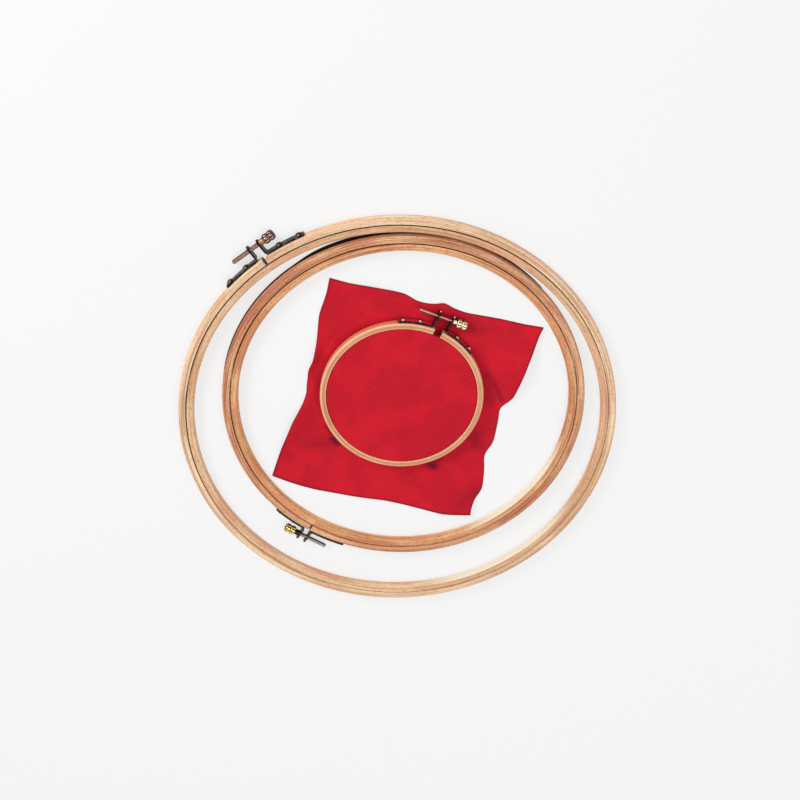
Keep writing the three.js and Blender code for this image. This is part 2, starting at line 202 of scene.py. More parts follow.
def seen_directly(wire):
    """1 for the camera's own rays and for those that gloss or glass sends on, otherwise 0."""
    path = wire.add("ShaderNodeLightPath")
    shiny = path.output("Is Glossy Ray").of("MAXIMUM", path.output("Is Transmission Ray"))
    return path.of("MAXIMUM", shiny)


TABLE_HALF = 3
TABLE_WHITE = srgb(246, 246, 246)
PAPER_SHARE = 0.7
PAINTED_GAP_SHADE = srgb(30, 18, 14)
GAP_ANGLE = math.radians(106)
GAP_HEADING = (math.cos(GAP_ANGLE), math.sin(GAP_ANGLE), 0)
GAP_CLOSEST = (0.95, 0.995)
GAP_CLOSE = (0.35, 0.6)
MEDIUM_REACH = 0.1262
TABLE_SHADE = {"wide": 0.0011, "narrow": 0.0007}
SHADE_LEAST = 0.0001
SHADE_BLUR = 0.0003
SHADE_UNDER_WALL = 0.0008


def in_the_gap(place, wide, narrow):
    """How far a place is from the middle hoop's centre, and how wide the gap's shade is there.

    The shade is widest where the two hoops are closest, and thin for some way to either side.
    """
    low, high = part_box("medium_inner_ring")
    middle = (low + high) / 2
    flat = place.vector("SUBTRACT", (middle.x, middle.y, 0)).vector("MULTIPLY", (1, 1, 0))
    towards = flat.vector("NORMALIZE").vector("DOT_PRODUCT", GAP_HEADING)
    reach = towards.between(*GAP_CLOSEST) * wide + towards.between(*GAP_CLOSE) * narrow
    return flat.vector("LENGTH"), reach


table_mesh = bpy.data.meshes.new("table")
signs = ((-1, -1), (1, -1), (1, 1), (-1, 1))
table_corners = [(x * TABLE_HALF, y * TABLE_HALF, 0) for x, y in signs]
table_mesh.from_pydata(table_corners, [], [(0, 1, 2, 3)])
table = into_scene("table", table_mesh)
table_finish, wire, shader = new_material("table_white", Roughness=0.9)
# A shadow is painted on the table in the gap beside the middle hoop: the table turns dark there and
# shows no white paper.
radius, reach = in_the_gap(place_on(wire), **TABLE_SHADE)
from_the_wall = (radius > MEDIUM_REACH - SHADE_UNDER_WALL) * (reach > SHADE_LEAST)
beyond = (radius - reach).between(MEDIUM_REACH - SHADE_BLUR, MEDIUM_REACH + SHADE_BLUR)
shaded = from_the_wall * (1 - beyond)
connect(shaded.mix(TABLE_WHITE, PAINTED_GAP_SHADE), shader, "Base Color")
paper = wire.add("ShaderNodeEmission", None, {"Color": TABLE_WHITE, "Strength": 1})
lit = Wire(wire.tree, shader.outputs[0])
paper_share = seen_directly(wire) * PAPER_SHARE * (1 - shaded)
table_mix = wire.add("ShaderNodeMixShader", None, {0: paper_share, 1: lit, 2: paper})
connect(table_mix, table_finish.node_tree.nodes["Material Output"], "Surface")
table_mesh.materials.append(table_finish)


# The light is a pale room, a low lamp at the top left of the picture, which lights the walls that
# face it, and a weak broad lamp high up on the right.

ROOM_LIGHT = 0.62
LAMPS = [
    {"name": "key_lamp", "place": (-1.0, 1.1, 0.78), "side": 0.5, "watts": 13},
    {"name": "fill_lamp", "place": (0.5, -0.3, 1.6), "side": 1.2, "watts": 7},
]

world = bpy.data.worlds.new("room")
bpy.context.scene.world = world
world.use_nodes = True
wire = Wire(world.node_tree)
room_colour = seen_directly(wire).mix((ROOM_LIGHT,) * 3 + (1,), TABLE_WHITE)
connect(room_colour, world.node_tree.nodes["Background"], "Color")
for lamp in LAMPS:
    data = bpy.data.lights.new(lamp["name"], "AREA")
    data.size = lamp["side"]
    data.energy = lamp["watts"]
    holder = into_scene(lamp["name"], data)
    holder.location = lamp["place"]
    holder.rotation_euler = (Vector(lamp["place"]) - LOOK_AT).to_track_quat("Z", "Y").to_euler()


# Inner rings: each is a strip of beech, steamed, bent into a closed hoop and glued at a slanted
# joint, then sanded round on the edges that the hand meets.


def screw_joint(hoop):
    """Where a hoop's screw turns, and which way its head points."""
    joint = next(joint for joint in frame["joints"] if joint["name"] == f"{hoop}_screw_turn")
    return Vector(joint["pos_m"]), Vector(joint["axis"]).normalized()


def hoop_place(hoop):
    """A hoop's middle, and the turn that puts its split on the +Y side of it."""
    low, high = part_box(f"{hoop}_inner_ring")
    centre = Vector(((low.x + high.x) / 2, (low.y + high.y) / 2, 0))
    outward = screw_joint(hoop)[0] - centre
    outward = Vector((outward.x, outward.y, 0)).normalized()
    along = Vector((outward.y, -outward.x, 0))
    turn = Matrix((along, outward, (0, 0, 1))).transposed().to_4x4()
    return Matrix.Translation(centre) @ turn


def points_of(node, place):
    """A node's points, seen from a place."""
    world_points = np.array([vertex.co for vertex in frame["nodes"][node].data.vertices])
    back_turn = np.array(place.inverted())
    return world_points @ back_turn[:3, :3].T + back_turn[:3, 3]


def new_tree(name, sizes):
    """An empty Geometry Nodes tree with one input for each size, and a wire from each."""
    tree = bpy.data.node_groups.new(name, "GeometryNodeTree")
    tree.interface.new_socket("Geometry", in_out="INPUT", socket_type="NodeSocketGeometry")
    for size in sizes:
        tree.interface.new_socket(size, in_out="INPUT", socket_type="NodeSocketFloat")
    tree.interface.new_socket("Finish", in_out="INPUT", socket_type="NodeSocketMaterial")
    tree.interface.new_socket("Geometry", in_out="OUTPUT", socket_type="NodeSocketGeometry")
    entry = tree.nodes.new("NodeGroupInput")
    return Wire(tree), {socket.name: Wire(tree, socket) for socket in entry.outputs if socket.name}


def end_tree(shape, finish, smooth=True):
    """Closes the seams and poles of a tree's shape, and gives it its shading and its material."""
    closed = shape.add("GeometryNodeMergeByDistance", None, {"Geometry": shape, "Distance": MERGE})
    rounded = {"Geometry": closed, "Shade Smooth": smooth}
    shaded = shape.add("GeometryNodeSetShadeSmooth", None, rounded)
    real = shape.add("GeometryNodeRealizeInstances", None, {"Geometry": shaded})
    covered = {"Geometry": real, "Material": finish}
    finished = shape.add("GeometryNodeSetMaterial", None, covered)
    out = shape.tree.nodes.new("NodeGroupOutput")
    shape.tree.links.new(finished.socket, out.inputs[0])


def wrapped_grid(wire, sides, rows):
    """A grid to wrap round a section, with how far round and how far along each point lies."""
    counts = {"Size X": 1, "Size Y": 1, "Vertices X": sides + 1, "Vertices Y": rows + 1}
    grid = wire.add("GeometryNodeMeshGrid", None, counts)
    share_round, share_along, _ = grid.output("UV Map").parts()
    return grid, share_round, share_along


def placed_at(wire, x, y, z):
    """A vector made of three sizes."""
    return wire.add("ShaderNodeCombineXYZ", None, {0: x, 1: y, 2: z})


def kept_on(shape, kind, domain, name, value):
    """The shape, with a value kept on each of its points or corners for its material to read."""
    settings = {"data_type": kind, "domain": domain}
    inputs = {"Geometry": shape, "Name": name, "Value": value}
    return shape.add("GeometryNodeStoreNamedAttribute", settings, inputs)


def made_by(tree, name, values, place):
    """The plain mesh object that a tree makes from its named inputs, put in its place."""
    holder = into_scene(f"{name}_maker", bpy.data.meshes.new(name))
    modifier = holder.modifiers.new("maker", "NODES")
    modifier.node_group = tree
    inputs = [item for item in tree.interface.items_tree if item.in_out == "INPUT"]
    sockets = {item.name: item.identifier for item in inputs}
    for key, value in values.items():
        modifier[sockets[key]] = value
    evaluated = holder.evaluated_get(bpy.context.evaluated_depsgraph_get())
    mesh = bpy.data.meshes.new_from_object(evaluated)
    bpy.data.objects.remove(holder)
    mesh.transform(place)
    mesh.name = name
    return into_scene(name, mesh)


MERGE = 0.000002
CORNER_STEPS = 6
AROUND_STRIP = 4 * (CORNER_STEPS + 1)
ALONG_STRIP = 360
STRIP_SIZES = (
    "Inside", "Outside", "Low", "High", "Inside Round", "Outside Round", "Mating Radius",
    "First Angle", "Last Angle", "Open", "End Chamfer", "Head Taper", "Taper Length",
)
QUARTER_TURN = math.pi / 2


def bent_strip():
    """A strip with a rounded section, bent from one angle to another, its ends shut or joined."""
    wire, size = new_tree("bent_strip", STRIP_SIZES)
    grid, share_round, share_along = wrapped_grid(wire, AROUND_STRIP, ALONG_STRIP)

    # Round the section: four corners, each a quarter of a circle
    point = (share_round * AROUND_STRIP + 0.5).of("FLOOR")
    corner = ((point + 0.5) / (CORNER_STEPS + 1)).of("FLOOR")
    step = point - corner * (CORNER_STEPS + 1)
    angle = (corner + step / CORNER_STEPS) * QUARTER_TURN + math.pi
    middle = (corner + 0.5) * QUARTER_TURN + math.pi
    outer_side = middle.of("COSINE").of("SIGN")
    upper_side = middle.of("SINE").of("SIGN")
    rounder = size["Outside Round"] - size["Inside Round"]
    rounding = size["Inside Round"] + rounder * (outer_side * 0.5 + 0.5)

    # Along the strip: an open one has two more rows at each end, for its face and its chamfer
    row = (share_along * ALONG_STRIP + 0.5).of("FLOOR")
    from_end = row.of("MINIMUM", row * -1 + ALONG_STRIP)
    chamfer = size["Open"] * size["End Chamfer"]
    lead = chamfer / size["Inside"]
    rows = size["Open"] * -4 + ALONG_STRIP
    way = ((row - size["Open"] * 2) / rows).of("MAXIMUM", 0).of("MINIMUM", 1)
    span = size["Last Angle"] - size["First Angle"] - lead * 2
    which_end = (share_along - 0.5).of("SIGN")
    turned = size["First Angle"] + lead + span * way + (from_end < 1.5) * lead * which_end
    height = size["High"] - size["Low"]
    on_chamfer = (from_end > 0.5) * (from_end < 1.5)
    inset = (from_end < 0.5) + on_chamfer * (chamfer * 2 / height)
    kept = 1 - size["Open"] * inset

    # The head end's outer corner may be pared off
    from_head = (turned - size["First Angle"]) * size["Outside"]
    pared = (1 - from_head / size["Taper Length"]).of("MAXIMUM", 0) * size["Head Taper"]
    outside = size["Outside"] - pared
    half_width = (outside - size["Inside"]) * 0.5
    across = outer_side * (half_width - rounding) + rounding * angle.of("COSINE")
    upward = upper_side * (height * 0.5 - rounding) + rounding * angle.of("SINE")
    radius = (outside + size["Inside"]) * 0.5 + across * kept
    z = (size["High"] + size["Low"]) * 0.5 + upward * kept
    placed = placed_at(wire, radius * turned.of("SINE"), radius * turned.of("COSINE"), z)

    # How far along, how far from the mating face and how high each corner is in the wood
    depth = (radius - size["Mating Radius"]).of("ABSOLUTE")
    in_wood = placed_at(wire, turned * size["Inside"], depth, z - size["Low"])
    grained = kept_on(grid, "FLOAT_VECTOR", "CORNER", "grain", in_wood)
    sawn = kept_on(grained, "FLOAT", "POINT", "end_grain", size["Open"] * (from_end < 1.5))
    bent = wire.add("GeometryNodeSetPosition", None, {"Geometry": sawn, "Position": placed})
    end_tree(bent, size["Finish"], (from_end > 1.9).of("MAXIMUM", size["Open"] * -1 + 1))
    return wire.tree


def kept_value(wire, name):
    """The value of that name that the shape keeps for its material."""
    return wire.add("ShaderNodeAttribute", {"attribute_name": name}).output("Fac")


def roughen(wire, shader, strength, distance, height):
    """Gives a surface a relief that is too fine for its mesh."""
    relief = {"Strength": strength, "Distance": distance, "Height": height}
    connect(wire.add("ShaderNodeBump", None, relief), shader, "Normal")


def noise(place, scale, detail, rough):
    """Noise from 0 to 1, mostly near 0.5, and finer where the scale is larger."""
    inputs = {"Vector": place, "Scale": scale, "Detail": detail, "Roughness": rough}
    return place.add("ShaderNodeTexNoise", None, inputs)


def beech(name, pale, tan, blush, streak, streak_share, patch_length, seed, seam=1.0, mark=None):
    """Bent beech: broad bands and fine streaks that run along the strip, and short dark flecks."""
    material, wire, shader = new_material(name, Specular_IOR_Level=0.15)
    grain = wire.add("ShaderNodeAttribute", {"attribute_name": "grain"}, None, 1)
    _, depth, height = grain.parts()

    def layer(along, across, detail, rough, low, high):
        """A layer of the grain, by how often it changes in a metre along and across the wood."""
        stretched = grain.vector("MULTIPLY", (along, across, across))
        moved = stretched.vector("ADD", (seed, seed * 2, seed * 3))
        return noise(moved, 1, detail, rough).between(low, high)

    bands = layer(along=9, across=400, detail=3, rough=0.55, low=0.42, high=0.6)
    patches = layer(along=1 / patch_length, across=70, detail=2, rough=0.5, low=0.44, high=0.58)
    blushes = layer(along=1.6 / patch_length, across=150, detail=2, rough=0.5, low=0.5, high=0.62)
    streaks = layer(along=14, across=900, detail=4, rough=0.62, low=0.48, high=0.62)
    pale_lines = layer(along=10, across=1300, detail=2, rough=0.5, low=0.52, high=0.62)
    flecks = layer(along=380, across=1100, detail=2, rough=0.5, low=0.53, high=0.68)

    # Each layer goes over the ones before it, as strongly as its share says
    ground = (blushes * 0.7).mix((bands * 0.5 + patches * 0.5).mix(pale, tan), blush)
    streaked = (streaks * streak_share).mix((pale_lines * 0.5).mix(ground, pale), streak)
    flecked = (flecks * 0.45).mix(streaked, streak)

    # Painted shade darkens the edges where the two rings meet, as the dark line of the gap between
    # them, faintest towards -Y and +X
    place = place_on(wire)
    x, y, _ = place.parts()
    seam_shade_side = (y - x * 0.5).between(*SEAM_SHADE_SIDE) * (1 - SEAM_SHADE_FAINTEST) + SEAM_SHADE_FAINTEST
    near_mating = 1 - depth.between(SEAM_WIDTH * 0.4, SEAM_WIDTH)
    from_half = (height - STRIP_HEIGHT / 2).of("ABSOLUTE")
    near_face = from_half.between(*[STRIP_HEIGHT / 2 - down for down in SEAM_DOWN])
    coloured = (near_mating * near_face * (seam_shade_side * seam)).mix(flecked, PAINTED_SEAM_SHADE)
    if mark:
        coloured = mark(place, depth, height, coloured)
    # The sawn end faces are dark end grain, painted darker still as shade.
    sawn = kept_value(wire, "end_grain")
    connect((sawn * 0.92).mix(coloured, END_GRAIN_AND_SHADE), shader, "Base Color")
    connect(streaks * 0.12 + flecks * 0.1 + 0.42, shader, "Roughness")
    roughen(wire, shader, 0.25, 0.0001, streaks * -0.6 - flecks)
    return material


def painted_lit_wall(degrees):
    """Painted light: the inner wall is paler on one side of the hoop, the one that this angle
    points to, where light falls on it.
    """
    middle = (math.cos(math.radians(degrees)), math.sin(math.radians(degrees)), 0)

    def mark(place, depth, height, colour):
        side = place.vector("NORMALIZE").vector("DOT_PRODUCT", middle)
        on_wall = depth.between(*INNER_WALL_DEPTH)
        return (side.between(*LIT_WALL_SIDE) * on_wall * 0.9).mix(colour, PAINTED_WALL_LIGHT)

    return mark


HAND_ROUND = 0.0016
MATING_ROUND = 0.0004
SEAM_WIDTH = 0.0005
SEAM_DOWN = (0.0011, 0.0005)
SEAM_SHADE_SIDE = (-0.13, 0.1)
SEAM_SHADE_FAINTEST = 0.25
STRIP_HEIGHT = 0.0065
INNER_WALL_DEPTH = (0.0035, 0.0045)
LIT_WALL_SIDE = (0.86, 0.98)
STRIP = bent_strip()
PAINTED_SEAM_SHADE, END_GRAIN_AND_SHADE, PAINTED_WALL_LIGHT = srgb(64, 38, 26), srgb(66, 36, 28), srgb(240, 228, 204)
PALE_STREAK, RED_STREAK = srgb(168, 106, 70), srgb(150, 74, 44)
INNER_WOODS = {
    "large": beech(
        "pale_beech_inside", pale=srgb(236, 200, 160), tan=srgb(202, 148, 108),
        blush=srgb(226, 162, 130), streak=PALE_STREAK, streak_share=0.5, patch_length=0.07,
        seed=3.1, mark=painted_lit_wall(-58)),
    "medium": beech(
        "red_beech_inside", pale=srgb(236, 184, 134), tan=srgb(198, 132, 86),
        blush=srgb(218, 138, 98), streak=RED_STREAK, streak_share=0.6, patch_length=0.05,
        seed=7.7, mark=painted_lit_wall(-38)),
    "small": beech(
        "yellow_beech_inside", pale=srgb(234, 172, 136), tan=srgb(208, 136, 104),
        blush=srgb(226, 144, 118), streak=PALE_STREAK, streak_share=0.4, patch_length=0.02,
        seed=12.4, seam=0.0),
}

for hoop in ("large", "medium", "small"):
    node = f"{hoop}_inner_ring"
    place = hoop_place(hoop)
    points = points_of(node, place)
    reach = np.hypot(points[:, 0], points[:, 1])
    ring = made_by(STRIP, f"{hoop}_inner_ring_wood", {
        "Inside": float(reach.min()), "Outside": float(reach.max()),
        "Mating Radius": float(reach.max()),
        "Low": float(points[:, 2].min()), "High": float(points[:, 2].max()),
        "Inside Round": HAND_ROUND, "Outside Round": MATING_ROUND,
        "First Angle": 0.0, "Last Angle": 2 * math.pi, "Taper Length": 1.0,
        "Finish": INNER_WOODS[hoop],
    }, place)
    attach(ring, "root")
    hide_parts(node)


# Outer rings: the same strip left open, with its two ends a few millimetres apart under the screw.
# Each is one piece of wood here.

END_CHAMFER = 0.0004
BACK_BEND = 0.8
HEAD_TAPERS = {"large": 0.002, "medium": 0.0, "small": 0.0}
TAPER_LENGTH = 0.0034
OUTER_WALL_DEPTH = (0.004, 0.0048)
FOOT_SHADE = {"wide": 0.0017, "narrow": 0.0004}
FOOT_SHADE_LEAST = 0.0002
FOOT_SHADE_EDGE = (-0.0004, 0.0002)
SMALL_TOP = (0.0055, 0.0063)
SMALL_CROWN = ((0.0006, 0.0012), (0.0024, 0.0032))
SMALL_RIMS = ((0.0003, 0.0009), (0.0026, 0.0033))
SMALL_WALL_DEPTH = (0.0034, 0.0041)
SMALL_WALL_TOP = (0.0045, 0.0062)
CROWN_BROWN, PAINTED_RIM_HIGHLIGHT, PAINTED_RED_BOUNCE = srgb(190, 134, 84), srgb(252, 196, 164), srgb(222, 104, 80)


def painted_foot_shade(place, depth, height, colour):
    """The foot of the outer wall is painted dark as shade, where this hoop stands close to the
    large one.
    """
    _, reach = in_the_gap(place, **FOOT_SHADE)
    low_down = 1 - (height - reach).between(*FOOT_SHADE_EDGE)
    on_foot = low_down * depth.between(*OUTER_WALL_DEPTH) * (reach > FOOT_SHADE_LEAST)
    return (on_foot * 0.93).mix(colour, PAINTED_GAP_SHADE)


def browned_top_and_painted_light(place, depth, height, colour):
    """The small ring is browner on top, with painted highlights along both rims and a painted red
    glow of light bounced from the cloth down its outer wall.
    """
    on_top = height.between(*SMALL_TOP)
    crown = depth.between(*SMALL_CROWN[0]) * (1 - depth.between(*SMALL_CROWN[1])) * on_top
    inner_rim, outer_rim = 1 - depth.between(*SMALL_RIMS[0]), depth.between(*SMALL_RIMS[1])
    rims = inner_rim.of("MAXIMUM", outer_rim) * on_top
    wall = depth.between(*SMALL_WALL_DEPTH) * (1 - height.between(*SMALL_WALL_TOP))
    browned = (crown * 0.5).mix(colour, CROWN_BROWN)
    return (wall * 0.5).mix((rims * 0.6).mix(browned, PAINTED_RIM_HIGHLIGHT), PAINTED_RED_BOUNCE)


OUTER_WOODS = {
    "large": beech(
        "pale_beech_outside", pale=srgb(246, 218, 180), tan=srgb(212, 166, 126),
        blush=srgb(238, 184, 154), streak=PALE_STREAK, streak_share=0.55, patch_length=0.06,
        seed=21.3),
    "medium": beech(
        "red_beech_outside", pale=srgb(232, 184, 142), tan=srgb(190, 126, 90),
        blush=srgb(206, 134, 104), streak=RED_STREAK, streak_share=0.75, patch_length=0.05,
        seed=31.9, mark=painted_foot_shade),
    "small": beech(
        "yellow_beech_outside", pale=srgb(240, 188, 148), tan=srgb(208, 146, 104),
        blush=srgb(228, 150, 122), streak=PALE_STREAK, streak_share=0.6, patch_length=0.02,
        seed=44.6, seam=0.0, mark=browned_top_and_painted_light),
}

for hoop in ("large", "medium", "small"):
    node = f"{hoop}_outer_ring_head_half"
    place = hoop_place(hoop)
    points = points_of(node, place)
    reach = np.hypot(points[:, 0], points[:, 1])
    head_end = float(points[points[:, 1] > 0, 0].min())
    first = math.asin(head_end / float(reach.min()))
    ring = made_by(STRIP, f"{hoop}_outer_ring_wood", {
        "Inside": float(reach.min()), "Outside": float(reach.max()),
        "Mating Radius": float(reach.min()),
        "Low": float(points[:, 2].min()), "High": float(points[:, 2].max()),
        "Inside Round": MATING_ROUND, "Outside Round": HAND_ROUND,
        "First Angle": first, "Last Angle": 2 * math.pi - first,
        "Open": 1.0, "End Chamfer": END_CHAMFER,
        "Head Taper": HEAD_TAPERS[hoop], "Taper Length": TAPER_LENGTH,
        "Finish": OUTER_WOODS[hoop],
    }, place)
    bend = Vector((head_end * BACK_BEND, 0, 0))
    place @ bend
    place @ -bend
    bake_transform(ring)
    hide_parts(node, f"{hoop}_outer_ring_far_half")


# Brackets: strips of blackened steel, bent into a foot that follows the ring and an ear that
# stands up for the screw. The foot is riveted to the ring, and the cut edges are worn bright.

EDGE_WEAR = 0.00009
EDGE_ANGLE = 35
FLAT_ANGLE = 1
SIDES = {"head": "outer", "far": "far_end"}


def black_steel(name, top, dark, light, rough, metallic=0.5, foot=None):
    """Blackened steel: a colour on its upward faces, and black faces that are rubbed light in
    places.

    A foot's outer face may be polished below a height, so that it shows what lies round it.
    """
    material, wire, shader = new_material(name, Metallic=metallic, Specular_IOR_Level=0.12)
    place = place_on(wire)
    cloudy = noise(place, scale=420, detail=4, rough=0.6)
    speckled = noise(place, scale=2600, detail=2, rough=0.6)
    rubbed = cloudy.between(0.46, 0.66) * 0.75 + speckled.between(0.52, 0.66) * 0.25
    normal = wire.add("ShaderNodeNewGeometry").output("Normal")
    on_top = normal.parts()[2].between(0.6, 0.9)
    faces = rubbed.mix(dark, light)
    if foot:
        outward = normal.vector("DOT_PRODUCT", foot["outward"])
        edge_height, blur = foot["dark_above"], 0.0002
        upper = place.parts()[2].between(edge_height - blur, edge_height + blur)
        faces = (outward.between(0.7, 0.85) * (1 - upper)).mix(faces, foot["polish"])
    connect(on_top.mix(faces, (rubbed * 0.5).mix(top, light)), shader, "Base Color")
    connect(rubbed * 0.14 + on_top * 0.1 + rough, shader, "Roughness")
    roughen(wire, shader, 0.2, 0.00005, speckled)
    return material


BLACK = srgb(14, 11, 11)
SMALL_FOOT = {
    "outward": hoop_place("small").col[1].xyz, "dark_above": 0.0058, "polish": srgb(250, 236, 236),
}
BRACKET_SKINS = {
    "large": black_steel(
        "large_bracket_black", top=BLACK, dark=BLACK, light=srgb(112, 106, 96), rough=0.34),
    "medium": black_steel(
        "medium_bracket_black", top=srgb(52, 52, 46), dark=BLACK, light=srgb(84, 78, 70),
        rough=0.34),
    "small": black_steel(
        "small_bracket_black", top=BLACK, dark=srgb(16, 11, 13), light=srgb(96, 82, 84),
        rough=0.12, metallic=1.0, foot=SMALL_FOOT),
}
BRACKET_EDGE = black_steel(
    "bracket_worn_edge", top=srgb(40, 34, 34), dark=srgb(70, 62, 60), light=srgb(130, 118, 114),
    rough=0.26)

for hoop in ("large", "medium", "small"):
    for side, body in SIDES.items():
        node = f"{hoop}_{side}_bracket"
        shape = bmesh.new()
        shape.from_mesh(frame["nodes"][node].data)
        bmesh.ops.remove_doubles(shape, verts=shape.verts, dist=MERGE)
        bmesh.ops.dissolve_limit(
            shape, angle_limit=math.radians(FLAT_ANGLE), verts=shape.verts, edges=shape.edges)
        for face in shape.faces:
            face.smooth = True
        for edge in shape.edges:
            edge.smooth = edge.calc_face_angle(0) < math.radians(EDGE_ANGLE)
        mesh = bpy.data.meshes.new(f"{node}_steel")
        shape.to_mesh(mesh)
        shape.free()
        mesh.materials.append(BRACKET_SKINS[hoop])
        mesh.materials.append(BRACKET_EDGE)
        plate = into_scene(f"{node}_steel", mesh)
        worn = plate.modifiers.new("worn edge", "BEVEL")
        worn.width = EDGE_WEAR
        worn.segments = 2
        worn.limit_method = "ANGLE"
        worn.angle_limit = math.radians(EDGE_ANGLE)
        worn.material = 1
        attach(plate, f"{hoop}_{body}")
        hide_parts(node)


# Rivets: two hold each foot to the wood. Each is a bronzed steel pin with a domed head outside
# the foot, its shank running through the foot and most of the wood.

HEAD_RINGS = 7
SHANK_RINGS = 3
HEAD_SIDES = 20
SHANK_RADIUS = 0.0008


def rivet_row():
    """Domed heads with their shanks, side by side round a hoop."""
    sizes = ("First Angle", "Angle Step", "Seat", "Tail", "Height", "Head Radius", "Head Height")
    wire, size = new_tree("rivet_row", sizes)
    grid, share_round, share_along = wrapped_grid(wire, HEAD_SIDES, HEAD_RINGS + SHANK_RINGS)

    # One pin: rows from the top of the dome to its rim, then the shank's two rims and its tail
    row = (share_along * (HEAD_RINGS + SHANK_RINGS) + 0.5).of("FLOOR")
    rise = ((row / HEAD_RINGS).of("MINIMUM", 1) * -1 + 1) * QUARTER_TURN
    on_head = row < HEAD_RINGS + 0.5
    shank = (row > HEAD_RINGS + 0.5) * (row < HEAD_RINGS + 2.5) * SHANK_RADIUS
    radius = on_head * size["Head Radius"] * rise.of("COSINE") + shank
    tail = (row > HEAD_RINGS + 1.5) * (size["Tail"] - size["Seat"])
    z = on_head * size["Head Height"] * rise.of("SINE") + tail
    turned = share_round * (2 * math.pi)
    placed = placed_at(wire, radius * turned.of("COSINE"), radius * turned.of("SINE"), z)
    pin = wire.add("GeometryNodeSetPosition", None, {"Geometry": grid, "Position": placed})

    # The holes in the foot: each pin stands in one and points away from the hoop's middle
    number = wire.add("GeometryNodeInputIndex")
    angle = size["First Angle"] + number * size["Angle Step"]
    out_x, out_y = angle.of("SINE"), angle.of("COSINE")
    seat = placed_at(wire, out_x * size["Seat"], out_y * size["Seat"], size["Height"])
    holes = wire.add("GeometryNodePoints", None, {"Count": 2, "Position": seat})
    facing = {"Vector": placed_at(wire, out_x, out_y, 0.0)}
    turn = wire.add("FunctionNodeAlignRotationToVector", {"axis": "Z"}, facing)
    in_holes = {"Points": holes, "Instance": pin, "Rotation": turn}
    row_of_pins = wire.add("GeometryNodeInstanceOnPoints", None, in_holes)
    real = wire.add("GeometryNodeRealizeInstances", None, {"Geometry": row_of_pins})
    end_tree(real, size["Finish"])
    return wire.tree


RIVETS = rivet_row()
# The large and small rivets are paler on their upward faces: a painted highlight on the domes.
RIVET_FINISHES = {
    "large": black_steel(
        "rivet_bronze", top=srgb(150, 124, 106), dark=srgb(52, 42, 36), light=srgb(128, 104, 86),
        rough=0.26, metallic=0.9),
    "medium": black_steel(
        "rivet_black", top=BLACK, dark=BLACK, light=srgb(90, 76, 60), rough=0.26, metallic=0.9),
    "small": black_steel(
        "rivet_nickel", top=srgb(196, 176, 150), dark=srgb(70, 48, 40), light=srgb(200, 180, 152),
        rough=0.2, metallic=0.9),
}

for hoop in ("large", "medium", "small"):
    place = hoop_place(hoop)
    for side, body in SIDES.items():
        nodes = [f"{hoop}_{side}_rivet_{i}" for i in (1, 2)]
        pins = [points_of(node, place) for node in nodes]
        angles = [math.atan2(*pin[:, :2].mean(0)) for pin in pins]
        outward = Vector((math.sin(angles[0]), math.cos(angles[0])))
        out = pins[0][:, :2] @ np.array(outward)
        sideways, upright = pins[0][:, :2] @ np.array((outward.y, -outward.x)), pins[0][:, 2]
        off = np.hypot(sideways, upright - upright.mean())
        seat = float(out[off > off.max() * 0.9].min())
        row = made_by(RIVETS, f"{hoop}_{side}_rivets", {
            "First Angle": angles[0], "Angle Step": angles[1] - angles[0],
            "Seat": seat, "Tail": float(out.min()),
            "Height": float((upright.min() + upright.max()) / 2), "Head Radius": float(off.max()),
            "Head Height": float(out.max() - seat), "Finish": RIVET_FINISHES[hoop],
        }, place)
        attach(row, f"{hoop}_{body}")
        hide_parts(*nodes)


# Thumb screws: turned brass, the large one bronzed dark. Each has a threaded rod that runs through
# both ears, a plain collar that bears on the nearer one, and two beads with eight grooves each
# for the fingers.

ROD_SIDES = 20
ROD_ROWS = 400
THREAD_SHARE = 0.28
HEAD_ROWS = 96
KNOB_SIDES = 80
GROOVES = 8
GROOVE_DEPTH = 0.00045
GROOVE_SHARPNESS = 2.5
COLLAR_STEP = 0.00065
EDGE_ROUND = 0.0003
SCREWS = {
    "large": {"rod": 0.0016, "collar": 0.0032, "bead": 0.0035, "bead_length": 0.004,
              "pitch": 0.0005, "neck": 0.0007, "tip": 0.0015},
    "medium": {"rod": 0.00145, "collar": 0.0034, "bead": 0.0033, "bead_length": 0.0038,
               "pitch": 0.00045, "neck": 0.001, "tip": 0.0004},
    "small": {"rod": 0.00078, "collar": 0.0026, "bead": 0.0032, "bead_length": 0.0038,
              "pitch": 0.0004, "neck": 0.0012, "tip": 0.0003},
}


def closed_at_ends(share_along, rows):
    """0 on the first and the last row of a turned piece, which close its ends, and 1 between."""
    return (share_along * rows).of("MINIMUM", share_along * -rows + rows) > 0.5


def turned_rod():
    """A rod with a thread cut along it and a rounded tip."""
    sizes = ("Tip", "End", "Radius", "Pitch", "Thread Depth", "Tip Round")
    wire, size = new_tree("turned_rod", sizes)
    grid, share_round, share_along = wrapped_grid(wire, ROD_SIDES, ROD_ROWS)
    along = size["Tip"] + (size["End"] - size["Tip"]) * share_along
    turned = share_round * (2 * math.pi)
    flank = (along / size["Pitch"] - share_round).of("FRACT")
    groove = 1 - ((flank - 0.5).of("ABSOLUTE") * 2)
    from_tip = ((along - size["Tip"]) / size["Tip Round"]).of("MINIMUM", 1)
    rounded = (1 - (1 - from_tip) ** 2).of("SQRT")
    threaded = size["Radius"] - groove * size["Thread Depth"] * rounded
    radius = (threaded - (1 - rounded) * size["Tip Round"]) * closed_at_ends(share_along, ROD_ROWS)
    placed = placed_at(wire, along, radius * turned.of("COSINE"), radius * turned.of("SINE"))
    marked = kept_on(grid, "FLOAT", "POINT", "hollow", groove)
    rod = wire.add("GeometryNodeSetPosition", None, {"Geometry": marked, "Position": placed})
    end_tree(rod, size["Finish"])
    return wire.tree


